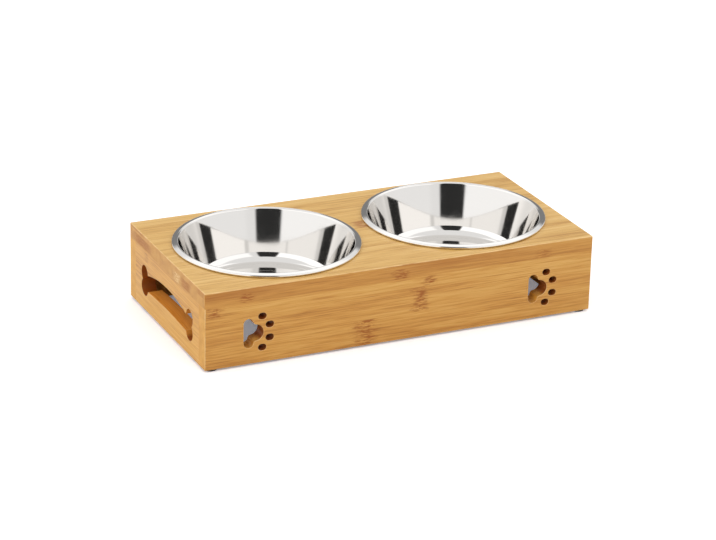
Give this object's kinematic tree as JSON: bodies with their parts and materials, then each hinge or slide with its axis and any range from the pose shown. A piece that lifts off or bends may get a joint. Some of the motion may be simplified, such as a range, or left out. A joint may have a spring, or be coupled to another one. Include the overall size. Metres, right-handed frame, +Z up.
{
  "type": "double pet bowl stand",
  "caption": "Low open-bottomed bamboo stand with lift-out steel bowls side by side, paw cut-outs in its long panels and a bone-shaped grip hole in each end.",
  "frame": {"origin": "on the floor plane under the feet, below the middle of the stand", "axes": "+X along the length to the right as seen from the front, -Y out of the front panel, +Z up"},
  "size_m": [0.4, 0.195, 0.0816],
  "materials": {
    "bamboo": "smooth clear-lacquered laminated bamboo",
    "polished_steel": "mirror-polished stainless steel",
    "foot_rubber": "matt rubber",
    "dowel_wood": "raw beech"
  },
  "bodies": {
    "stand": {"top_board": "bamboo", "front_panel": "bamboo", "back_panel": "bamboo", "left_end_panel": "bamboo", "right_end_panel": "bamboo", "foot_front_left": "foot_rubber", "foot_front_right": "foot_rubber", "foot_back_left": "foot_rubber", "foot_back_right": "foot_rubber", "front_left_corner_dowels": "dowel_wood", "front_right_corner_dowels": "dowel_wood", "back_left_corner_dowels": "dowel_wood", "back_right_corner_dowels": "dowel_wood", "top_front_dowels": "dowel_wood", "top_back_dowels": "dowel_wood", "top_left_dowels": "dowel_wood", "top_right_dowels": "dowel_wood"},
    "left_bowl": {"left_bowl": "polished_steel"},
    "right_bowl": {"right_bowl": "polished_steel"}
  },
  "joints": [
    {"name": "left_bowl_lift", "type": "slide", "parent": "stand", "child": "left_bowl", "axis": [0, 0, 1], "range_m": [0, 0.06]},
    {"name": "right_bowl_lift", "type": "slide", "parent": "stand", "child": "right_bowl", "axis": [0, 0, 1], "range_m": [0, 0.06]}
  ]
}
